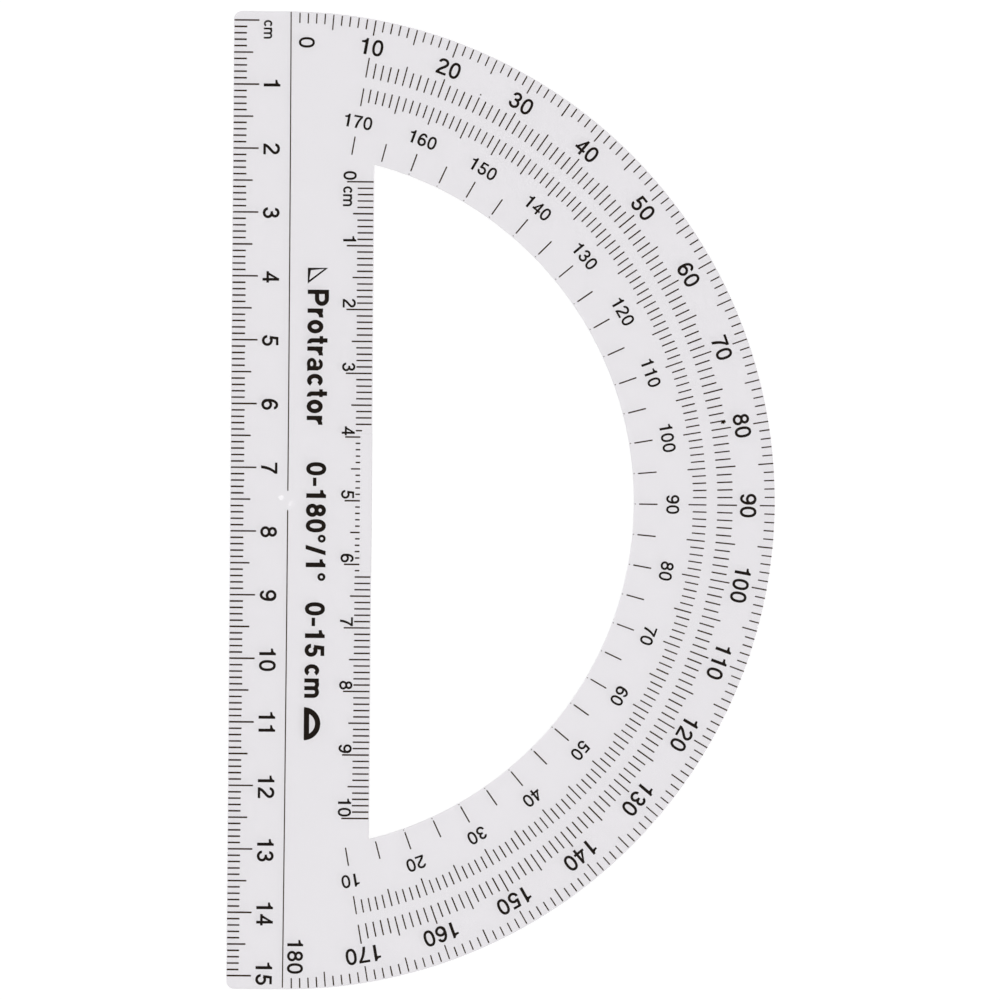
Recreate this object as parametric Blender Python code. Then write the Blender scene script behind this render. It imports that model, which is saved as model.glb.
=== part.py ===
"""A semicircular drawing protractor with a 15 cm ruler edge: one clear moulded plate and its printed base line.

The plate lies on the XY plane with its underside at z = 0 and its printed face up. The origin is the centre
of the plate's outer arc, on the underside, straight below the vertex dimple. +X runs along the straight edge
towards the 180 degree end, and +Y points at the 90 degree mark.
"""

import math

import bmesh
import bpy

MM = 0.001

# The plate's outline.
THICKNESS = 1.8 * MM
OUTER_RADIUS = 76.8 * MM
EDGE_DROP = 8.74 * MM
CORNER_RADIUS = 1.25 * MM
EDGE_BREAK = 0.15 * MM

# The half-moon window. Its straight side carries the short ruler, and its arc sits slightly off the middle.
WINDOW_RADIUS = 54.64 * MM
WINDOW_MIDDLE_X = 0.13 * MM
WINDOW_RISE = 13.5 * MM

# Shallow relief in the printed face.
DIMPLE_RADIUS = 1.5 * MM
DIMPLE_DEPTH = 0.35 * MM
GATE_LENGTH = 21.9 * MM
GATE_WIDTH = 1.8 * MM
GATE_DEPTH = 0.25 * MM
GATE_MIDDLE_X = 0.29 * MM

# The printed base line, which stops either side of the dimple.
PRINT_SHIFT_Y = 0.20 * MM
LINE_WIDTH = 0.22 * MM
INK_THICKNESS = 0.02 * MM
INK_CLEARANCE = 0.01 * MM
LINE_OUTER_END = OUTER_RADIUS - 0.2 * MM
LINE_INNER_END = DIMPLE_RADIUS + 0.08 * MM

OUTER_STEPS = 120
CORNER_STEPS = 6
WINDOW_STEPS = 102
DIMPLE_SEGMENTS = 48
DIMPLE_RINGS = 64
PAST_FACE = 1.0 * MM


def clear_scene():
    for item in list(bpy.data.objects):
        bpy.data.objects.remove(item, do_unlink=True)


def material(name, colour, roughness, metallic=0.0, transmission=0.0):
    made = bpy.data.materials.new(name)
    made.use_nodes = True
    shader = made.node_tree.nodes["Principled BSDF"]
    shader.inputs["Base Color"].default_value = (*colour, 1.0)
    shader.inputs["Roughness"].default_value = roughness
    shader.inputs["Metallic"].default_value = metallic
    shader.inputs["Transmission Weight"].default_value = transmission
    return made


def arc(centre, radius, start, stop, steps):
    """Points on an arc from the angle start to the angle stop, both ends included."""
    angles = [start + (stop - start) * step / steps for step in range(steps + 1)]
    return [(centre[0] + radius * math.cos(a), centre[1] + radius * math.sin(a)) for a in angles]


def plate_outline(inset):
    """The plate's outline, counter-clockwise, drawn in by inset: half a disc on a short straight-sided strip."""
    radius = OUTER_RADIUS - inset
    corner = CORNER_RADIUS - inset
    corner_x = OUTER_RADIUS - CORNER_RADIUS
    corner_y = CORNER_RADIUS - EDGE_DROP
    points = arc((0.0, 0.0), radius, 0.0, math.pi, OUTER_STEPS)
    points += arc((-corner_x, corner_y), corner, math.pi, 1.5 * math.pi, CORNER_STEPS)
    points += arc((corner_x, corner_y), corner, 1.5 * math.pi, 2.0 * math.pi, CORNER_STEPS)
    return points


def window_outline(growth):
    """The window's outline, counter-clockwise, made larger by growth: an arc closed by a chord."""
    radius = WINDOW_RADIUS + growth
    low = math.asin((WINDOW_RISE - growth) / radius)
    return arc((WINDOW_MIDDLE_X, 0.0), radius, low, math.pi - low, WINDOW_STEPS)


def rectangle(low_x, low_y, high_x, high_y):
    return [(low_x, low_y), (high_x, low_y), (high_x, high_y), (low_x, high_y)]


def add_object(name, mesh_data):
    mesh = bpy.data.meshes.new(name)
    bmesh.ops.recalc_face_normals(mesh_data, faces=mesh_data.faces)
    mesh_data.to_mesh(mesh)
    mesh_data.free()
    made = bpy.data.objects.new(name, mesh)
    bpy.context.scene.collection.objects.link(made)
    return made


def lofted(name, sections):
    """A closed solid through (outline, height) sections of equal point count, from the lowest to the highest."""
    solid = bmesh.new()
    rings = [[solid.verts.new((x, y, height)) for x, y in outline] for outline, height in sections]
    count = len(rings[0])
    for lower, upper in zip(rings, rings[1:]):
        for i in range(count):
            following = (i + 1) % count
            solid.faces.new((lower[i], lower[following], upper[following], upper[i]))
    solid.faces.new(list(reversed(rings[0])))
    solid.faces.new(rings[-1])
    return add_object(name, solid)


def prism(name, outline, low, high):
    return lofted(name, [(outline, low), (outline, high)])


def sphere(name, centre, radius):
    ball = bmesh.new()
    bmesh.ops.create_uvsphere(ball, u_segments=DIMPLE_SEGMENTS, v_segments=DIMPLE_RINGS, radius=radius)
    made = add_object(name, ball)
    made.location = centre
    return made


def cut(target, cutter):
    """Cuts one helper out of the target. The helper stays in the file as a wire guide."""
    cutter.hide_render = True
    cutter.display_type = "WIRE"
    modifier = target.modifiers.new(cutter.name, "BOOLEAN")
    modifier.operation = "DIFFERENCE"
    modifier.solver = "EXACT"
    modifier.object = cutter


def window_cutter():
    """The window's hole, flared at both faces so that its rims are broken like the outer edge."""
    return lofted(
        "window_cutter",
        [
            (window_outline(EDGE_BREAK + PAST_FACE), -PAST_FACE),
            (window_outline(0.0), EDGE_BREAK),
            (window_outline(0.0), THICKNESS - EDGE_BREAK),
            (window_outline(EDGE_BREAK + PAST_FACE), THICKNESS + PAST_FACE),
        ],
    )


def gate_cutter():
    """The land beside the window's straight side, where the moulding gate was trimmed."""
    low_x = GATE_MIDDLE_X - GATE_LENGTH / 2
    high_x = GATE_MIDDLE_X + GATE_LENGTH / 2
    outline = rectangle(low_x, WINDOW_RISE - GATE_WIDTH, high_x, WINDOW_RISE + PAST_FACE)
    return prism("gate_cutter", outline, THICKNESS - GATE_DEPTH, THICKNESS + PAST_FACE)


def dimple_cutter():
    """A ball whose cap leaves the vertex dimple at its stated width and depth."""
    radius = (DIMPLE_RADIUS**2 + DIMPLE_DEPTH**2) / (2 * DIMPLE_DEPTH)
    return sphere("dimple_cutter", (0.0, 0.0, THICKNESS - DIMPLE_DEPTH + radius), radius)


def build_plate():
    plate = lofted(
        "plate",
        [
            (plate_outline(EDGE_BREAK), 0.0),
            (plate_outline(0.0), EDGE_BREAK),
            (plate_outline(0.0), THICKNESS - EDGE_BREAK),
            (plate_outline(EDGE_BREAK), THICKNESS),
        ],
    )
    cut(plate, window_cutter())
    cut(plate, gate_cutter())
    cut(plate, dimple_cutter())
    plate.data.materials.append(
        material("clear_polystyrene", colour=(0.93, 0.92, 0.94), roughness=0.08, transmission=1.0)
    )
    return plate


def build_base_line(name, low_x, high_x, ink):
    half = LINE_WIDTH / 2
    outline = rectangle(low_x, PRINT_SHIFT_Y - half, high_x, PRINT_SHIFT_Y + half)
    bottom = THICKNESS + INK_CLEARANCE
    line = prism(name, outline, bottom, bottom + INK_THICKNESS)
    line.data.materials.append(ink)
    return line


def main():
    clear_scene()
    build_plate()
    ink = material("black_ink", colour=(0.02, 0.018, 0.017), roughness=0.45)
    build_base_line("base_line_0_end", -LINE_OUTER_END, -LINE_INNER_END, ink)
    build_base_line("base_line_180_end", LINE_INNER_END, LINE_OUTER_END, ink)


main()
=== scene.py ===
"""Looks of a clear semicircular protractor: moulded plate, printed scales, floor, light and camera.

The plate lies on z = 0. The origin is the centre of its outer arc, +X runs along the straight edge towards
the 180 degree end, and +Y points at the 90 degree mark. The part's lengths are in millimetres, and those of
the floor, the lamps and the camera are in metres.
"""

import math
import random

import bmesh
import bpy
from mathutils import Matrix, Vector
from mathutils.geometry import delaunay_2d_cdt


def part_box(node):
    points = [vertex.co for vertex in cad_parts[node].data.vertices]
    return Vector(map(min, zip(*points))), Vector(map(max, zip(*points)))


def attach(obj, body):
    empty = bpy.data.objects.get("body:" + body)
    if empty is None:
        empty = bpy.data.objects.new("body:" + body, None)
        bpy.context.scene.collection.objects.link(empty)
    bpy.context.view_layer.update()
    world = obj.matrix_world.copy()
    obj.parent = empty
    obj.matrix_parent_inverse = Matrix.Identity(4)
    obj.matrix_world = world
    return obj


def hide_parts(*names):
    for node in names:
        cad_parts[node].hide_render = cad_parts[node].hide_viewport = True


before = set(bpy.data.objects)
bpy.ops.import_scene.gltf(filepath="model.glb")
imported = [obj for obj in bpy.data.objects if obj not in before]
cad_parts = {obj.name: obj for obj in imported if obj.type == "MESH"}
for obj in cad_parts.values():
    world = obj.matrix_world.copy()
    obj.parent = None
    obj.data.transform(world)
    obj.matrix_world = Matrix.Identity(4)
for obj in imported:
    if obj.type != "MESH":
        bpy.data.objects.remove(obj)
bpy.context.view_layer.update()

MM = 0.001


def node_box_mm(node):
    return [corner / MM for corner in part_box(node)]


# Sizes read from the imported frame.
PLATE_LOW, PLATE_HIGH = node_box_mm("plate")
LINE_LOW, LINE_HIGH = node_box_mm("base_line_0_end")
THICKNESS = PLATE_HIGH.z
OUTER_RADIUS = PLATE_HIGH.x
STRAIGHT_EDGE_Y = PLATE_LOW.y
BASE_LINE_Y = (LINE_LOW.y + LINE_HIGH.y) / 2
INK_BOTTOM = LINE_LOW.z
INK_TOP = LINE_HIGH.z

# The plate's fine shape.
CORNER_RADIUS = 1.25
EDGE_ROUND = 0.15
WINDOW_RADIUS = 54.64
WINDOW_MIDDLE_X = 0.13
WINDOW_RISE = 13.5
DIMPLE_RADIUS = 1.5
DIMPLE_DEPTH = 0.35
GATE_LENGTH = 21.9
GATE_WIDTH = 1.8
GATE_DEPTH = 0.25
GATE_LEAN = 0.22
GATE_MIDDLE_X = 0.29
DIMPLE_SEGMENTS = 96
DIMPLE_RINGS = 128
OUTER_STEPS = 360
WINDOW_STEPS = 300
CORNER_STEPS = 12
ROUND_STEPS = 4
PAST_FACE = 1.0

# Where the print sits on the plate. It was laid down slightly off the moulding's centre.
SCALE_CENTRE = Vector((0.13, BASE_LINE_Y))
RULER_MIDDLE_X = -0.29
SHORT_RULER_MIDDLE_X = -0.09

# How the artwork was bent as it was printed, in the terms of laid().
SLIDE_X = 0.12
END_BOW_X = 0.21
CORNER_PULL_X = 0.30
MIDDLE_BOW_X = 0.50
SLIDE_Y = 0.19
SLOPE_Y = 0.07
END_BOW_Y = 0.16
SQUEEZE_Y = 0.21

# The base line, which stops on both sides of the dimple.
BASE_LINE_WIDTH = 0.185
BASE_LINE_DROP = 0.07
BASE_LINE_STOP_0_SIDE = -1.62
BASE_LINE_STOP_180_SIDE = 1.42

# Proportions of the numerals, as shares of their height.
DIGIT_WIDTH = 0.66
DIGIT_ADVANCE = 0.77
SMALL_LETTER = 0.74
LETTER_GAP = 0.12
FOOT = 0.012
MEDIUM = 0.162
BOLD = 0.205

RANDOM = random.Random(1510)


# ---------------------------------------------------------------- materials


def new_material(name):
    """A node material and its empty tree."""
    made = bpy.data.materials.new(name)
    made.use_nodes = True
    made.node_tree.nodes.clear()
    return made, made.node_tree


def add_node(tree, kind, **sockets):
    node = tree.nodes.new(kind)
    for name, value in sockets.items():
        node.inputs[name.replace("_", " ")].default_value = value
    return node


def object_coordinates(tree):
    return tree.nodes.new("ShaderNodeTexCoord").outputs["Object"]


def ramp(tree, source, low, high, low_at=0.0, high_at=1.0):
    """Maps a 0 to 1 signal to the range low to high."""
    node = add_node(tree, "ShaderNodeMapRange", From_Min=low_at, From_Max=high_at, To_Min=low, To_Max=high)
    tree.links.new(source, node.inputs["Value"])
    return node.outputs["Result"]


def noise(tree, coordinates, scale, detail=3.0, roughness=0.5):
    node = add_node(tree, "ShaderNodeTexNoise", Scale=scale, Detail=detail, Roughness=roughness)
    tree.links.new(coordinates, node.inputs["Vector"])
    return node.outputs["Fac"]


def mixed(tree, factor, first, second):
    """The shader first where the factor is 0 and second where it is 1."""
    node = tree.nodes.new("ShaderNodeMixShader")
    tree.links.new(factor, node.inputs["Fac"])
    tree.links.new(first, node.inputs[1])
    tree.links.new(second, node.inputs[2])
    return node.outputs["Shader"]


def clear_plastic():
    """Glass-clear polystyrene with a faint lilac tint, moulding ripple and hairline scratches."""
    made, tree = new_material("clear_polystyrene")
    shader = add_node(
        tree,
        "ShaderNodeBsdfPrincipled",
        Roughness=0.05,
        IOR=1.59,
        Transmission_Weight=1.0,
    )
    where = object_coordinates(tree)

    tint = tree.nodes.new("ShaderNodeMix")
    tint.data_type = "RGBA"
    tint.inputs["A"].default_value = (0.808, 0.793, 0.814, 1.0)
    tint.inputs["B"].default_value = (0.795, 0.780, 0.801, 1.0)
    tree.links.new(noise(tree, where, scale=35.0), tint.inputs["Factor"])
    tree.links.new(tint.outputs["Result"], shader.inputs["Base Color"])

    wear = noise(tree, where, scale=260.0, detail=6.0, roughness=0.6)
    tree.links.new(ramp(tree, wear, 0.02, 0.10, 0.35, 0.75), shader.inputs["Roughness"])

    ripple = add_node(tree, "ShaderNodeBump", Strength=0.12, Distance=0.00004)
    tree.links.new(noise(tree, where, scale=70.0, detail=2.0), ripple.inputs["Height"])
    tree.links.new(ripple.outputs["Normal"], shader.inputs["Normal"])

    # Light that is caught between the faces past the last clear bounce meets a painted glow, an even grey
    # emission, instead of going black.
    last_clear_bounce = 4.5
    painted_glow_share = 0.35
    path = tree.nodes.new("ShaderNodeLightPath")
    caught = add_node(tree, "ShaderNodeMath")
    caught.operation = "GREATER_THAN"
    caught.inputs[1].default_value = last_clear_bounce
    tree.links.new(path.outputs["Ray Depth"], caught.inputs[0])
    painted_glow = add_node(tree, "ShaderNodeEmission", Color=(0.62, 0.61, 0.63, 1.0), Strength=1.0)
    share = ramp(tree, caught.outputs["Value"], 0.0, painted_glow_share)
    with_painted_glow = mixed(tree, share, shader.outputs["BSDF"], painted_glow.outputs["Emission"])

    # A lamp's shadow ray goes straight through, so the plate throws a pale shadow.
    through = add_node(tree, "ShaderNodeBsdfTransparent", Color=(0.92, 0.915, 0.925, 1.0))
    choice = mixed(tree, path.outputs["Is Shadow Ray"], with_painted_glow, through.outputs["BSDF"])
    out = tree.nodes.new("ShaderNodeOutputMaterial")
    tree.links.new(choice, out.inputs["Surface"])
    return made


def printing_ink(name, dark, pale, mottle_scale):
    """Dry printing ink: a warm near-black whose density varies a little over each mark."""
    made, tree = new_material(name)
    shader = add_node(tree, "ShaderNodeBsdfPrincipled", IOR=1.5, Specular_IOR_Level=0.12)
    where = object_coordinates(tree)
    colour = tree.nodes.new("ShaderNodeMix")
    colour.data_type = "RGBA"
    colour.inputs["A"].default_value = (*dark, 1.0)
    colour.inputs["B"].default_value = (*pale, 1.0)
    mottle = noise(tree, where, scale=mottle_scale, detail=4.0, roughness=0.6)
    tree.links.new(ramp(tree, mottle, 0.0, 1.0, 0.35, 0.7), colour.inputs["Factor"])
    tree.links.new(colour.outputs["Result"], shader.inputs["Base Color"])
    tree.links.new(ramp(tree, mottle, 0.38, 0.62), shader.inputs["Roughness"])
    grain = add_node(tree, "ShaderNodeBump", Strength=0.25, Distance=0.00001)
    tree.links.new(noise(tree, where, scale=9000.0, detail=2.0), grain.inputs["Height"])
    tree.links.new(grain.outputs["Normal"], shader.inputs["Normal"])
    out = tree.nodes.new("ShaderNodeOutputMaterial")
    tree.links.new(shader.outputs["BSDF"], out.inputs["Surface"])
    return made


# ---------------------------------------------------------------- shared geometry


def arc(centre, radii, start, stop, steps):
    """Points on an ellipse from the angle start to the angle stop, in degrees, both ends included."""
    points = []
    for step in range(steps + 1):
        angle = math.radians(start + (stop - start) * step / steps)
        points.append((centre[0] + radii[0] * math.cos(angle), centre[1] + radii[1] * math.sin(angle)))
    return points


def bezier(p0, p1, p2, p3, steps=14):
    """Points on a cubic curve, both ends included."""
    points = []
    for step in range(steps + 1):
        t = step / steps
        s = 1 - t
        weights = (s**3, 3 * s * s * t, 3 * s * t * t, t**3)
        points.append(tuple(sum(w * p[i] for w, p in zip(weights, (p0, p1, p2, p3))) for i in (0, 1)))
    return points


def add_piece(name, mesh_data, finish):
    """Turns mesh data in millimetres into an object in the frame's metres."""
    bmesh.ops.recalc_face_normals(mesh_data, faces=mesh_data.faces)
    mesh_data.transform(Matrix.Scale(MM, 4))
    mesh = bpy.data.meshes.new(name)
    mesh_data.to_mesh(mesh)
    mesh_data.free()
    mesh.materials.append(finish)
    piece = bpy.data.objects.new(name, mesh)
    bpy.context.scene.collection.objects.link(piece)
    return piece


# ---------------------------------------------------------------- the moulded plate


def plate_outline(inset):
    """Half a disc on a short straight-sided strip, counter-clockwise, drawn in by inset."""
    radius = OUTER_RADIUS - inset
    corner = CORNER_RADIUS - inset
    corner_x = OUTER_RADIUS - CORNER_RADIUS
    corner_y = STRAIGHT_EDGE_Y + CORNER_RADIUS
    points = arc((0.0, 0.0), (radius, radius), 0.0, 180.0, OUTER_STEPS)
    points += arc((-corner_x, corner_y), (corner, corner), 180.0, 270.0, CORNER_STEPS)
    points += arc((corner_x, corner_y), (corner, corner), 270.0, 360.0, CORNER_STEPS)
    return points


def window_outline(growth):
    """The window's arc closed by its straight side, counter-clockwise, made larger by growth."""
    radius = WINDOW_RADIUS + growth
    low = math.degrees(math.asin((WINDOW_RISE - growth) / radius))
    return arc((WINDOW_MIDDLE_X, 0.0), (radius, radius), low, 180.0 - low, WINDOW_STEPS)


def gate_outline(growth):
    low_x = GATE_MIDDLE_X - GATE_LENGTH / 2 - growth
    high_x = GATE_MIDDLE_X + GATE_LENGTH / 2 + growth
    low_y = WINDOW_RISE - GATE_WIDTH - growth
    high_y = WINDOW_RISE + PAST_FACE
    return [(low_x, low_y), (high_x, low_y), (high_x, high_y), (low_x, high_y)]


def lofted(sections):
    """Closed mesh data through (outline, height) sections of equal point count, lowest first."""
    solid = bmesh.new()
    rings = [[solid.verts.new((x, y, height)) for x, y in outline] for outline, height in sections]
    count = len(rings[0])
    for lower, upper in zip(rings, rings[1:]):
        for i in range(count):
            following = (i + 1) % count
            solid.faces.new((lower[i], lower[following], upper[following], upper[i]))
    solid.faces.new(list(reversed(rings[0])))
    solid.faces.new(rings[-1])
    return solid


def rounded_sections(outline_at):
    """Sections of a wall with rounded rims, for an outline that takes the rim's setback."""
    sections = []
    for step in range(ROUND_STEPS + 1):
        angle = math.pi / 2 * step / ROUND_STEPS
        setback = EDGE_ROUND * (1 - math.sin(angle))
        sections.append((outline_at(setback), EDGE_ROUND * (1 - math.cos(angle))))
    upper = [(outline, THICKNESS - height) for outline, height in reversed(sections)]
    return sections + upper


def sloped_recess(outline_at, depth, lean):
    """A shallow cutter that meets the face on its outline. Its sides lean in by lean over its depth."""
    return lofted(
        [
            (outline_at(-lean), THICKNESS - depth),
            (outline_at(lean * PAST_FACE / depth), THICKNESS + PAST_FACE),
        ]
    )


def dimple_ball():
    radius = (DIMPLE_RADIUS**2 + DIMPLE_DEPTH**2) / (2 * DIMPLE_DEPTH)
    ball = bmesh.new()
    bmesh.ops.create_uvsphere(ball, u_segments=DIMPLE_SEGMENTS, v_segments=DIMPLE_RINGS, radius=radius)
    ball.transform(Matrix.Translation((0.0, 0.0, THICKNESS - DIMPLE_DEPTH + radius)))
    return ball


def cut(target, cutter_data, finish):
    """Cuts mesh data out of the target, for good."""
    cutter = add_piece("cutter", cutter_data, finish)
    modifier = target.modifiers.new("cut", "BOOLEAN")
    modifier.operation = "DIFFERENCE"
    modifier.solver = "EXACT"
    modifier.object = cutter
    evaluated = target.evaluated_get(bpy.context.evaluated_depsgraph_get())
    before = target.data
    target.data = bpy.data.meshes.new_from_object(evaluated)
    target.data.name = before.name
    target.modifiers.clear()
    bpy.data.meshes.remove(before)
    bpy.data.objects.remove(cutter)


def shade_plate(mesh):
    """Curved walls and rims shade smoothly. The level faces stay flat, and corners stay crisp."""
    mesh.shade_smooth()
    mesh.set_sharp_from_angle(angle=math.radians(35.0))
    level = 0.99999
    for polygon in mesh.polygons:
        if abs(polygon.normal.z) > level:
            polygon.use_smooth = False


def build_plate(finish):
    plate = add_piece("plate_moulding", lofted(rounded_sections(plate_outline)), finish)
    rim = EDGE_ROUND + PAST_FACE
    window = rounded_sections(window_outline)
    window = [(window_outline(rim), -PAST_FACE)] + window + [(window_outline(rim), THICKNESS + PAST_FACE)]
    cut(plate, lofted(window), finish)
    cut(plate, sloped_recess(gate_outline, GATE_DEPTH, GATE_LEAN), finish)
    cut(plate, dimple_ball(), finish)
    shade_plate(plate.data)
    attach(plate, "root")
    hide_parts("plate")


# ---------------------------------------------------------------- printed marks


def laid(point):
    """Where a point of the artwork was printed: slid, bowed and squeezed by a few tenths at most."""
    across = point.x / OUTER_RADIUS
    up = point.y / OUTER_RADIUS
    shift_x = SLIDE_X - END_BOW_X * across**2 - CORNER_PULL_X * across * up - MIDDLE_BOW_X * up * (1 - up)
    shift_y = SLIDE_Y - SLOPE_Y * across - END_BOW_Y * across**2 - SQUEEZE_Y * up
    return point + Vector((shift_x, shift_y))


class Print:
    """Collects flat printed marks and turns them into one thin piece of ink."""

    def __init__(self, name):
        self.name = name
        self.data = bmesh.new()

    def region(self, points, faces):
        """A flat region given by points and faces that share edges, raised to the ink's thickness."""
        low = [self.data.verts.new((x, y, INK_BOTTOM)) for x, y in points]
        high = [self.data.verts.new((x, y, INK_TOP)) for x, y in points]
        borders = {}
        for face in faces:
            self.data.faces.new([low[i] for i in reversed(face)])
            self.data.faces.new([high[i] for i in face])
            for pair in zip(face, [*face[1:], face[0]]):
                if pair[::-1] in borders:
                    del borders[pair[::-1]]
                else:
                    borders[pair] = True
        for a, b in borders:
            self.data.faces.new((low[a], low[b], high[b], high[a]))

    def bar(self, start, end, width, rounding=0.06):
        """A straight mark with slightly rounded corners."""
        along = (end - start).normalized()
        across = Vector((-along.y, along.x))
        half = width / 2 - rounding
        length = (end - start).length
        points = []
        corners = ((length, half, 0.0), (0.0, half, 90.0), (0.0, -half, 180.0), (length, -half, 270.0))
        for reach, side, turn in corners:
            middle = reach - rounding if reach else rounding
            for x, y in arc((middle, side), (rounding, rounding), turn, turn + 90.0, 2):
                points.append(start + along * x + across * y)
        self.region(points, [list(range(len(points)))])

    def line(self, path, width):
        """A continuous line along a gently bent path."""
        sides = [[], []]
        for i, point in enumerate(path):
            along = path[min(i + 1, len(path) - 1)] - path[max(i - 1, 0)]
            across = Vector((-along.y, along.x)).normalized() * width / 2
            sides[0].append(point + across)
            sides[1].append(point - across)
        count = len(path)
        faces = [[i, count + i, count + i + 1, i + 1] for i in range(count - 1)]
        self.region(sides[0] + sides[1], faces)

    def glyph(self, points, faces, origin, along, size):
        across = Vector((-along.y, along.x))
        self.region([origin + (along * x + across * y) * size for x, y in points], faces)

    def finished(self, finish):
        piece = add_piece(self.name, self.data, finish)
        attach(piece, "root")
        return piece


# ---------------------------------------------------------------- numerals and letters
# Each glyph is a list of polygons on a height of 1, drawn with strokes of the given weight.


def end_direction(first, second, third):
    """The direction of a smooth line at its first point, from its first three."""
    return (first - second) * 1.5 - (second - third) * 0.5


def stroke(path, weight, closed=False):
    """Quads that cover a smooth line of the given weight."""
    path = [Vector(point) for point in path]
    count = len(path)
    sides = []
    for i, point in enumerate(path):
        along = path[(i + 1) % count] - path[i - 1]
        if not closed and i == 0:
            along = -end_direction(*path[:3])
        if not closed and i == count - 1:
            along = end_direction(*path[:-4:-1])
        across = Vector((-along.y, along.x)).normalized() * weight / 2
        sides.append((point + across, point - across))
    quads = []
    for i in range(count if closed else count - 1):
        left, right = sides[i]
        next_left, next_right = sides[(i + 1) % count]
        quads.append([left, right, next_right, next_left])
    return quads


def box(low_x, low_y, high_x, high_y):
    return [[(low_x, low_y), (high_x, low_y), (high_x, high_y), (low_x, high_y)]]


def ring(centre, radii, weight, steps=44):
    """An upright oval stroke whose outer edge has the given radii."""
    inner = (radii[0] - weight / 2, radii[1] - weight / 2)
    return stroke(arc(centre, inner, 0.0, 360.0, steps)[:-1], weight, closed=True)


def turned(polygons):
    """A digit's polygons turned upside down."""
    return [[(DIGIT_WIDTH - x, 1 - y) for x, y in polygon] for polygon in polygons]


def squared_oval(centre, radii, power, steps=72):
    points = []
    for step in range(steps):
        angle = 2 * math.pi * step / steps
        cosine, sine = math.cos(angle), math.sin(angle)
        x = math.copysign(abs(cosine) ** (2 / power), cosine)
        y = math.copysign(abs(sine) ** (2 / power), sine)
        points.append((centre[0] + radii[0] * x, centre[1] + radii[1] * y))
    return points


def zero(w):
    radii = (DIGIT_WIDTH / 2 - w / 2, 0.5 - w / 2)
    return stroke(squared_oval((DIGIT_WIDTH / 2, 0.5), radii, 2.3), w, closed=True)


def one(weight):
    """A stem, a little heavier than other strokes, with a flag that sweeps down to the left from its top."""
    w = 1.13 * weight
    right = 0.485
    left = right - w
    tip = 0.085
    flag_low = 0.70
    flag_high = flag_low + 0.66 * w
    root = left + 0.24 * w
    sweep = bezier((tip, flag_high), (left - 0.07, flag_high + 0.01), (left + 0.2 * w, 0.88), (root, 1.0))
    flag = [(tip, flag_low), (left + 0.5 * w, flag_low), (left + 0.5 * w, 1.0), *reversed(sweep)]
    return box(left, FOOT, right, 1.0 - 0.12) + box(root, 0.8, right, 1.0) + [flag]


def two(w):
    h = w / 2
    crown = arc((0.325, 0.715), (0.325 - h, 0.285 - h), 180.0, -5.0, 30)
    x, y = crown[-1]
    leg = bezier((x, y), (x - 0.01, y - 0.17), (h + 0.05, 0.33), (h + 0.02, FOOT + 0.5 * w), 16)
    return stroke(crown + leg[1:], w) + box(0.015, FOOT, 0.655, FOOT + 0.92 * w)


def three(w):
    h = w / 2
    middle = 0.535
    top_radius = (1 - h - middle) / 2
    low_radius = (middle - h) / 2
    top = arc((0.32, 1 - h - top_radius), (0.29 - h, top_radius), 180.0, -90.0, 40)
    low = arc((0.325, h + low_radius), (0.325 - h, low_radius), 90.0, -180.0, 40)
    return stroke(top, w) + stroke(low, w) + box(0.235, middle - 0.44 * w, 0.34, middle + 0.44 * w)


def four(w):
    """A stem, a bar and a slope from the bar's left end to the stem's top."""
    right = 0.565
    bar_low = 0.245
    bar_high = bar_low + 0.92 * w
    slope = [(0.0, bar_low + 0.02), (1.12 * w, bar_low + 0.02), (right - 0.02, 1.0), (right - 0.75 * w, 1.0)]
    return box(right - w, FOOT, right, 1.0) + box(0.0, bar_low, 0.68, bar_high) + [slope]


def five(w):
    h = w / 2
    top = 0.985
    roof = box(0.125, top - 0.92 * w, 0.605, top)
    back = [(0.115, top), (0.055, 0.465), (0.055 + 0.95 * w, 0.465), (0.125 + w, top)]
    bowl = arc((0.325, 0.325), (0.325 - h, 0.325 - h), 135.0, -180.0, 46)
    return roof + [back] + stroke(bowl, w)


def six(w):
    h = w / 2
    hook = arc((0.36, 0.745), (0.27 - h, 0.255 - h), 0.0, 90.0, 14)
    shoulder = arc((0.36, 0.47), (0.36 - h, 0.53 - h), 90.0, 180.0, 20)
    side = arc((0.33, 0.47), (0.33 - h, 0.47 - h), 180.0, 255.0, 14)
    return stroke(hook + shoulder[1:] + side[1:], w) + ring((0.33, 0.322), (0.33, 0.322), w)


def seven(w):
    top = 0.985
    under = top - 0.92 * w
    far = 0.665
    heel = 0.255
    right = bezier((far, under), (0.50, 0.66), (0.345 + 0.3 * w, 0.40), (heel + 0.52 * w, FOOT))
    near = (far - 1.2 * w, under)
    left = bezier(near, (0.43 - 0.6 * w, 0.66), (0.285 - 0.5 * w, 0.40), (heel - 0.52 * w, FOOT))
    return box(0.0, under, far, top) + [right + left[::-1]]


def eight(w):
    h = w / 2
    middle = 0.53
    low_radius = (middle - h) / 2 + h
    top_radius = (1 - h - middle) / 2 + h
    low = ring((0.33, low_radius), (0.33, low_radius), w)
    return low + ring((0.33, 1 - top_radius), (0.295, top_radius), w)


def nine(w):
    return turned(six(w))


def capital_p(w):
    h = w / 2
    middle = 0.44
    radius = (1 - h - middle) / 2
    bowl = arc((0.42, middle + radius), (0.34 - h, radius), 90.0, -90.0, 28)
    bars = box(h, 1 - w, 0.43, 1.0) + box(h, middle - h, 0.43, middle + h)
    return box(0.0, 0.0, w, 1.0) + bars + stroke(bowl, w)


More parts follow.
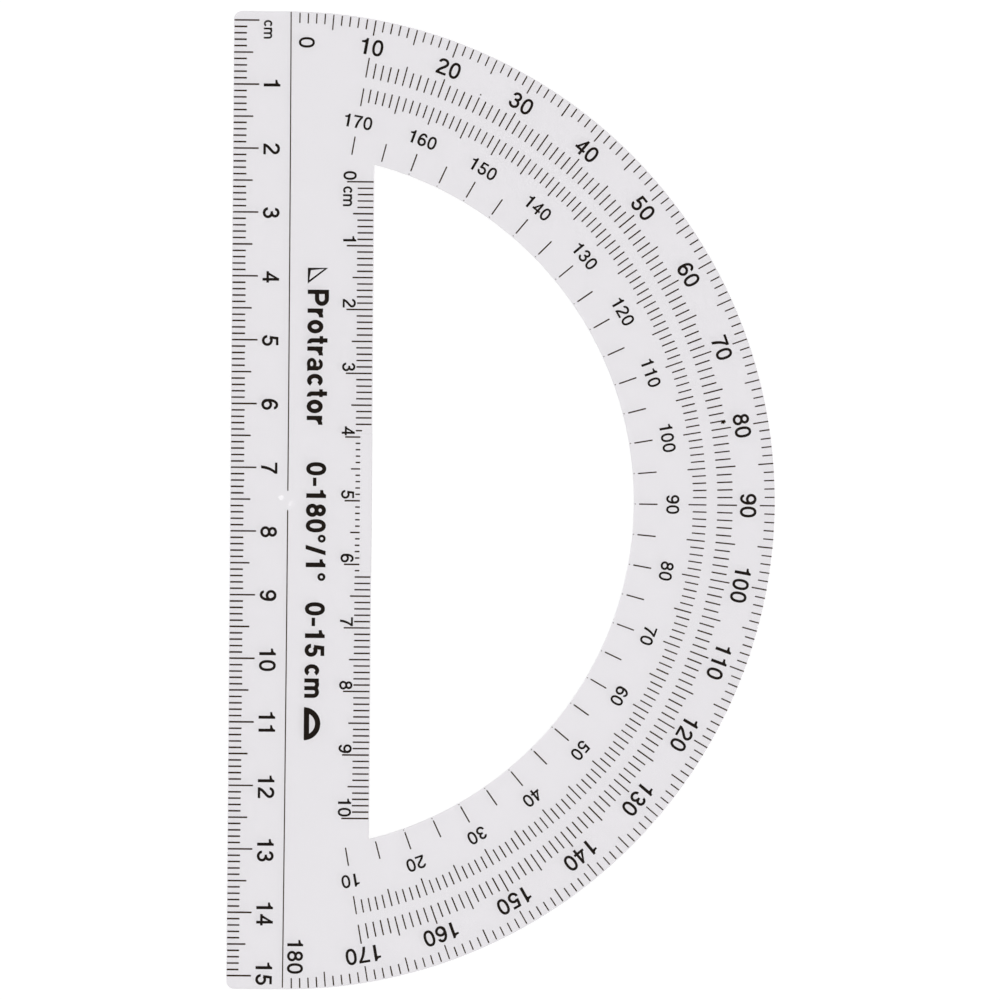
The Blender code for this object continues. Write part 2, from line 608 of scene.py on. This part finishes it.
def small_a(w):
    h = w / 2
    thin = 0.78 * w
    right = 0.80
    arch = stroke(arc((0.41, 0.68), (right - h - 0.41, 0.32 - thin / 2), 165.0, 0.0, 28), thin)
    stem = box(right - w, 0.10, right, 0.70)
    foot = [(right - w, 0.14), (right, 0.14), (right + 0.05, 0.0), (right - 0.85 * w, 0.0)]
    return arch + stem + [foot] + ring((0.38, 0.29), (0.38, 0.31), thin)


def small_c(w):
    h = w / 2
    return stroke(arc((0.42, 0.5), (0.42 - h, 0.5 - h), 38.0, 322.0, 40), w)


def small_m(w):
    h = w / 2
    width = 1.31
    polygons = box(0.0, 0.0, w, 0.98)
    for left in (h, width / 2):
        right = left + width / 2 - h
        spread = (right - left) / 2
        arch = arc((left + spread, 0.62), (spread, 0.38 - h), 180.0, 0.0, 24)
        polygons += stroke(arch, w) + box(right - h, 0.0, right + h, 0.64)
    return polygons


def small_o(w):
    return ring((0.43, 0.5), (0.43, 0.51), w, 56)


def small_r(w):
    h = w / 2
    arm = arc((0.56, 0.48), (0.56 - h, 0.52 - h), 180.0, 88.0, 18)
    return box(0.0, 0.0, w, 0.98) + stroke(arm, w)


def small_t(w):
    h = w / 2
    left = 0.14
    hook = arc((0.46, 0.30), (0.46 - left - h, 0.31 - h), 180.0, 275.0, 18)
    return box(left, 0.29, left + w, 1.28) + box(0.0, 1 - 0.8 * w, 0.50, 1.0) + stroke(hook, w)


def lowercase(draw):
    """The drawing of a small letter, whose own height is 1, at its share of a numeral's height."""

    def drawn(w):
        polygons = draw(w / SMALL_LETTER)
        return [[(x * SMALL_LETTER, y * SMALL_LETTER) for x, y in polygon] for polygon in polygons]

    return drawn


def dash(w):
    return box(0.0, 0.34, 0.42, 0.34 + 0.85 * w)


def degree(w):
    return ring((0.20, 0.80), (0.20, 0.20), 0.62 * w, 32)


def solidus(w):
    slant = 1.06 * w
    return [[(0.0, 0.0), (slant, 0.0), (0.52, 1.0), (0.52 - slant, 1.0)]]


def space(w):
    return []


# A character's shape, and its width where it isn't spaced as a digit.
GLYPHS = {
    "0": (zero, None),
    "1": (one, None),
    "2": (two, None),
    "3": (three, None),
    "4": (four, None),
    "5": (five, None),
    "6": (six, None),
    "7": (seven, None),
    "8": (eight, None),
    "9": (nine, None),
    "P": (capital_p, 0.76),
    "a": (lowercase(small_a), 0.85 * SMALL_LETTER),
    "c": (lowercase(small_c), 0.81 * SMALL_LETTER),
    "m": (lowercase(small_m), 1.31 * SMALL_LETTER),
    "o": (lowercase(small_o), 0.86 * SMALL_LETTER),
    "r": (lowercase(small_r), 0.56 * SMALL_LETTER),
    "t": (lowercase(small_t), 0.50 * SMALL_LETTER),
    "-": (dash, 0.42),
    "*": (degree, 0.40),
    "/": (solidus, 0.52),
    " ": (space, 0.14),
}
made_glyphs = {}


def area(polygon):
    """Twice the signed area, above zero for a counter-clockwise polygon."""
    return sum(a[0] * b[1] - a[1] * b[0] for a, b in zip(polygon, [*polygon[1:], polygon[0]]))


def merged(polygons):
    """One set of points and triangles that covers the union of overlapping polygons."""
    if not polygons:
        return [], []
    polygons = [polygon if area(polygon) > 0 else polygon[::-1] for polygon in polygons]
    points = [Vector(point) for polygon in polygons for point in polygon]
    faces, start = [], 0
    for polygon in polygons:
        faces.append(list(range(start, start + len(polygon))))
        start += len(polygon)
    result = delaunay_2d_cdt(points, [], faces, 1, 1e-5)
    flat, triangles, covered_by = result[0], result[2], result[5]
    kept = []
    for triangle, sources in zip(triangles, covered_by):
        if not sources:
            continue
        a, b, c = (flat[i] for i in triangle)
        turn = (b - a).cross(c - a)
        kept.append(list(triangle) if turn > 0 else list(reversed(triangle)))
    return [tuple(point) for point in flat], kept


def shape_of(character, weight):
    key = (character, weight)
    if key not in made_glyphs:
        draw = GLYPHS[character][0]
        made_glyphs[key] = merged(draw(weight))
    return made_glyphs[key]


def offsets(text, gap):
    """Where each character starts, and the whole width, on a height of 1."""
    starts, x = [], 0.0
    for character in text:
        width = GLYPHS[character][1]
        starts.append(x)
        x += DIGIT_ADVANCE if width is None else width + gap
    last = GLYPHS[text[-1]][1]
    return starts, x - (DIGIT_ADVANCE - DIGIT_WIDTH if last is None else gap)


def write(sheet, text, middle, along, size, weight, gap=LETTER_GAP):
    """Text whose baseline runs along, centred on the point middle of the baseline."""
    starts, width = offsets(text, gap)
    origin = laid(middle) - along * (width / 2 * size)
    for character, start in zip(text, starts):
        points, faces = shape_of(character, weight)
        sheet.glyph(points, faces, origin + along * (start * size), along, size)


# ---------------------------------------------------------------- the scales


def jitter(amount):
    return RANDOM.uniform(-amount, amount)


def polar(degrees, radius):
    """A point of the angle scale: 0 at the left end, growing clockwise over the top."""
    angle = math.radians(degrees)
    return SCALE_CENTRE + Vector((-math.cos(angle), math.sin(angle))) * radius


def clockwise(degrees):
    angle = math.radians(degrees)
    return Vector((math.sin(angle), math.cos(angle)))


# Each ruler's length in millimetres, and the lengths of its ticks by the step that they mark.
RULER_LENGTH = 150
SHORT_RULER_LENGTH = 100
RULER_TICKS = {1: 1.95, 5: 2.97, 10: 3.90}
SHORT_RULER_TICKS = {1: 2.76, 5: 3.48, 10: 4.42}
RULER_TICK_WIDTH = 0.26
SHORT_RULER_TICK_WIDTH = 0.245
RIGHT = Vector((1.0, 0.0))


def tick_length(lengths, index):
    return next(lengths[step] for step in (10, 5, 1) if index % step == 0)


def plate_edge_y(x):
    """The straight edge's y at x, which climbs over the rounded corners."""
    past = abs(x) - (OUTER_RADIUS - CORNER_RADIUS)
    if past <= 0:
        return STRAIGHT_EDGE_Y
    return STRAIGHT_EDGE_Y + CORNER_RADIUS - math.sqrt(max(CORNER_RADIUS**2 - past**2, 0.0))


def ruler(line_finish, numeral_finish):
    """The 15 cm scale along the straight edge. Its last numeral is drawn back from the plate's end."""
    ticks = Print("ruler_graduations")
    for index in range(RULER_LENGTH + 1):
        x = RULER_MIDDLE_X + index - RULER_LENGTH / 2 + jitter(0.015)
        tip = laid(Vector((x, STRAIGHT_EDGE_Y + tick_length(RULER_TICKS, index) + jitter(0.04))))
        edge = plate_edge_y(tip.x) + 0.06 + abs(jitter(0.05))
        ticks.bar(Vector((tip.x, edge)), tip, RULER_TICK_WIDTH + jitter(0.015))
    numerals = Print("ruler_numerals")
    baseline = STRAIGHT_EDGE_Y + 4.58
    usual_shift = 0.11
    end_shifts = {1: -0.05, 15: -0.42}
    for number in range(1, 16):
        shift = end_shifts.get(number, usual_shift)
        x = RULER_MIDDLE_X + number * 10 - RULER_LENGTH / 2 + shift
        write(numerals, str(number), Vector((x, baseline)), RIGHT, 2.65, MEDIUM)
    write(numerals, "cm", Vector((-73.85, baseline)), RIGHT, 1.80, MEDIUM, gap=0.06)
    ticks.finished(line_finish)
    numerals.finished(numeral_finish)


def short_ruler(line_finish, numeral_finish):
    """The 10 cm scale along the window's straight side. Its ticks stop at the edge of the gate's land."""
    ticks = Print("window_graduations")
    land_y = WINDOW_RISE - GATE_WIDTH
    land_start, land_end = 39, 62
    for index in range(SHORT_RULER_LENGTH + 1):
        x = SHORT_RULER_MIDDLE_X + index - SHORT_RULER_LENGTH / 2 + jitter(0.015)
        foot = laid(Vector((x, WINDOW_RISE - tick_length(SHORT_RULER_TICKS, index) + jitter(0.04))))
        top = WINDOW_RISE - 0.08 - abs(jitter(0.05))
        if index == land_start:
            top = land_y + 0.2
        if land_start < index < land_end:
            top = land_y - 0.05
        ticks.bar(foot, Vector((foot.x, top)), SHORT_RULER_TICK_WIDTH + jitter(0.015))
    numerals = Print("window_numerals")
    size = 2.10
    gap_to_tick = 0.29
    for number in range(11):
        text = str(number)
        width = offsets(text, LETTER_GAP)[1] * size
        x = SHORT_RULER_MIDDLE_X + number * 10 - SHORT_RULER_LENGTH / 2 - gap_to_tick - width / 2
        write(numerals, text, Vector((x, 8.50)), RIGHT, size, MEDIUM)
    write(numerals, "cm", Vector((-47.82, 8.46)), RIGHT, 1.95, MEDIUM, gap=0.04)
    ticks.finished(line_finish)
    numerals.finished(numeral_finish)


def base_line(node, name, start, end, finish):
    """One half of the base line, a little bowed with the rest of the print."""
    sheet = Print(name)
    steps = 24
    height = BASE_LINE_Y - BASE_LINE_DROP
    path = [Vector((start + (end - start) * step / steps, height)) for step in range(steps + 1)]
    sheet.line([laid(point) for point in path], BASE_LINE_WIDTH)
    piece = sheet.finished(finish)
    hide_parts(node)


def radial_ticks(name, degrees, inner_at, outer_at, width):
    sheet = Print(name)
    for value in degrees:
        inner = polar(value, inner_at(value) + jitter(0.03))
        outer = polar(value, outer_at(value) + jitter(0.03))
        sheet.bar(laid(inner), laid(outer), width + jitter(0.012))
    return sheet


def smudge(sheet):
    """A blot of ink that ran from the outer end of the 79 degree mark."""
    outward = polar(79.0, 1.0) - polar(79.0, 0.0)
    onward = clockwise(79.0)
    middle = laid(polar(79.0, 69.62)) + onward * 0.16
    lobes = ((0.42, 15.0, 0.26), (0.36, 80.0, 0.24), (0.40, 150.0, 0.28), (0.34, 215.0, 0.24))
    for reach, turn, width in lobes:
        angle = math.radians(turn)
        leg = outward * math.cos(angle) + onward * math.sin(angle)
        sheet.bar(middle - leg * 0.08, middle + leg * reach, width)


def middle_outer_end(value):
    """Every fifth mark is longer, except at 25 degrees, where the print broke off short of a dot."""
    if value == 25:
        return 70.15
    return 69.98 if value % 5 else 70.67


def degree_scales(finish):
    outer = radial_ticks(
        "outer_degree_graduations",
        range(1, 180),
        inner_at=lambda value: 74.99 if value % 5 else 74.22,
        outer_at=lambda value: 76.60,
        width=0.21,
    )
    middle_outer = radial_ticks(
        "middle_outer_graduations",
        range(10, 171),
        inner_at=lambda value: 67.55,
        outer_at=middle_outer_end,
        width=0.22,
    )
    smudge(middle_outer)
    dot = laid(polar(25.0, 70.62))
    middle_outer.bar(dot - RIGHT * 0.12, dot + RIGHT * 0.12, 0.22, rounding=0.08)
    middle_inner = radial_ticks(
        "middle_inner_graduations",
        range(10, 171),
        inner_at=lambda value: 63.72 if value % 5 else 63.02,
        outer_at=lambda value: 65.87,
        width=0.215,
    )
    inner = radial_ticks(
        "inner_graduations",
        range(10, 171, 5),
        inner_at=lambda value: 55.26,
        outer_at=lambda value: 58.16,
        width=0.22,
    )
    for value in range(20, 161, 5):
        # Each mark leaves a dot on the window's rim, whose centre lies below the print's.
        rim = WINDOW_RADIUS + EDGE_ROUND - BASE_LINE_Y * math.sin(math.radians(value))
        inner.bar(polar(value, rim), polar(value, rim + 0.16), 0.155, rounding=0.05)
    for sheet in (outer, middle_outer, middle_inner, inner):
        sheet.finished(finish)


def degree_numerals(finish):
    outer = Print("outer_degree_numerals")
    for value in range(10, 171, 10):
        shift = clockwise(value) * (-0.10 if value > 90 else 0.03)
        write(outer, str(value), polar(value, 71.12) + shift, clockwise(value), 2.60, MEDIUM)
    slightly_finer = MEDIUM - 0.014
    write(outer, "0", Vector((-71.85, 1.37)), RIGHT, 2.52, slightly_finer)
    write(outer, "180", Vector((71.62, 0.80)), RIGHT, 2.52, MEDIUM)
    inner = Print("inner_degree_numerals")
    for value in range(10, 171, 10):
        write(inner, str(180 - value), polar(value, 59.5), clockwise(value), 2.08, MEDIUM)
    outer.finished(finish)
    inner.finished(finish)


def set_square(sheet, corner, width, height, thickness):
    """A pictogram of a set square: a right triangle's frame that stands on its corner."""
    tips = [corner, corner + Vector((width, 0.0)), corner + Vector((0.0, height))]
    middle = (tips[0] * 2 + tips[1] + tips[2]) / 4
    holes = [tip + (middle - tip).normalized() * thickness for tip in tips]
    sheet.region([*tips, *holes], [[0, 1, 4, 3], [1, 2, 5, 4], [2, 0, 3, 5]])


def small_protractor(sheet, middle, radius, thickness):
    """A pictogram of a protractor: a half ring on a bar."""
    outer = arc(middle, (radius, radius), 0.0, 180.0, 40)
    reach = radius - thickness
    low = math.degrees(math.asin(thickness / reach))
    inner = arc(middle, (reach, reach), low, 180.0 - low, 40)
    count = len(outer)
    ring_faces = [[i, i + 1, count + i + 1, count + i] for i in range(count - 1)]
    sheet.region([*outer, *inner], [*ring_faces, [0, count, 2 * count - 1, count - 1]])


def legend(finish):
    """Generic wording and pictograms in the band above the base line."""
    sheet = Print("legend")
    cap = 3.15
    baseline = 3.0
    set_square(sheet, laid(Vector((-36.6, baseline))), 2.5, 3.2, 0.62)
    write(sheet, "Protractor", Vector((-22.6, baseline)), RIGHT, 3.35, BOLD)
    write(sheet, "0-180*/1*", Vector((3.2, baseline)), RIGHT, cap, BOLD, gap=0.11)
    write(sheet, "0-15 cm", Vector((23.4, baseline)), RIGHT, cap, BOLD, gap=0.11)
    small_protractor(sheet, laid(Vector((35.0, baseline))), 2.6, 0.85)
    sheet.finished(finish)


# ---------------------------------------------------------------- floor, light and camera


def build_floor():
    made, tree = new_material("white_floor")
    shader = add_node(tree, "ShaderNodeBsdfPrincipled", Roughness=0.9)
    shader.inputs["Emission Color"].default_value = (1.0, 1.0, 1.0, 1.0)
    shader.inputs["Emission Strength"].default_value = 0.74
    where = object_coordinates(tree)
    colour = tree.nodes.new("ShaderNodeMix")
    colour.data_type = "RGBA"
    colour.inputs["A"].default_value = (0.430, 0.430, 0.430, 1.0)
    colour.inputs["B"].default_value = (0.415, 0.415, 0.415, 1.0)
    tree.links.new(noise(tree, where, scale=12.0), colour.inputs["Factor"])
    tree.links.new(colour.outputs["Result"], shader.inputs["Base Color"])
    out = tree.nodes.new("ShaderNodeOutputMaterial")
    tree.links.new(shader.outputs["BSDF"], out.inputs["Surface"])

    half = 20.0
    sheet = bmesh.new()
    bmesh.ops.create_grid(sheet, x_segments=4, y_segments=4, size=half)
    mesh = bpy.data.meshes.new("floor")
    sheet.to_mesh(mesh)
    sheet.free()
    mesh.materials.append(made)
    floor = bpy.data.objects.new("floor", mesh)
    floor.location.z = -0.02 * MM  # just clear of the plate's underside
    bpy.context.scene.collection.objects.link(floor)


def soft_light(name, place, target, size, power):
    lamp = bpy.data.lights.new(name, "AREA")
    lamp.shape = "DISK"
    lamp.size = size
    lamp.energy = power
    made = bpy.data.objects.new(name, lamp)
    made.location = place
    made.rotation_euler = (target - Vector(place)).to_track_quat("-Z", "Y").to_euler()
    made.visible_camera = False
    bpy.context.scene.collection.objects.link(made)


def build_world():
    """White behind the floor. What the part reflects is dimmer, and dimmest at the horizon."""
    world = bpy.data.worlds.new("studio")
    world.use_nodes = True
    tree = world.node_tree
    tree.nodes.clear()
    split = tree.nodes.new("ShaderNodeSeparateXYZ")
    tree.links.new(tree.nodes.new("ShaderNodeTexCoord").outputs["Generated"], split.inputs["Vector"])
    surround = tree.nodes.new("ShaderNodeBackground")
    tree.links.new(ramp(tree, split.outputs["Z"], 0.27, 0.565, 0.0, 0.5), surround.inputs["Strength"])
    backdrop = add_node(tree, "ShaderNodeBackground", Strength=1.0)
    for node in (surround, backdrop):
        node.inputs["Color"].default_value = (1.0, 1.0, 1.0, 1.0)
    path = tree.nodes.new("ShaderNodeLightPath")
    seen = mixed(tree, path.outputs["Is Camera Ray"], surround.outputs[0], backdrop.outputs[0])
    out = tree.nodes.new("ShaderNodeOutputWorld")
    tree.links.new(seen, out.inputs["Surface"])
    return world


def build_light():
    bpy.context.scene.world = build_world()
    target = Vector((0.0, 30.0, 0.0)) * MM
    soft_light("key", (0.5, 0.78, 1.75), target, 0.98, 6.2)
    soft_light("fill", (-0.8, -1.25, 1.3), target, 2.2, 4.5)


def build_camera():
    """Straight above the plate, its straight edge upright on the picture's left side."""
    lens = 250.0
    picture_width = 157.0 * MM
    roll = math.radians(0.465)
    middle = Vector((-0.32, 33.64, THICKNESS)) * MM
    camera = bpy.data.cameras.new("camera")
    camera.lens = lens
    camera.sensor_width = 36.0
    camera.clip_start = 0.05
    camera.clip_end = 60.0
    made = bpy.data.objects.new("camera", camera)
    right = Vector((-math.sin(roll), math.cos(roll), 0.0))
    up = Vector((-math.cos(roll), -math.sin(roll), 0.0))
    back = Vector((0.0, 0.0, 1.0))
    turn = Matrix((right, up, back)).transposed().to_4x4()
    distance = picture_width * lens / camera.sensor_width
    made.matrix_world = Matrix.Translation(middle + back * distance) @ turn
    bpy.context.scene.collection.objects.link(made)
    bpy.context.scene.camera = made


def main():
    plastic = clear_plastic()
    ink = printing_ink("black_ink", (0.007, 0.0035, 0.0015), (0.016, 0.009, 0.005), 2500.0)
    fine_ink = printing_ink("fine_line_ink", (0.028, 0.014, 0.005), (0.062, 0.032, 0.013), 2500.0)
    build_plate(plastic)
    line_end = LINE_LOW.x
    base_line("base_line_0_end", "base_line_0_side", line_end, BASE_LINE_STOP_0_SIDE, fine_ink)
    base_line("base_line_180_end", "base_line_180_side", BASE_LINE_STOP_180_SIDE, -line_end, fine_ink)
    ruler(fine_ink, ink)
    short_ruler(fine_ink, ink)
    degree_scales(fine_ink)
    degree_numerals(ink)
    legend(ink)
    build_floor()
    build_light()
    build_camera()
    bpy.context.scene.view_settings.view_transform = "Standard"


main()
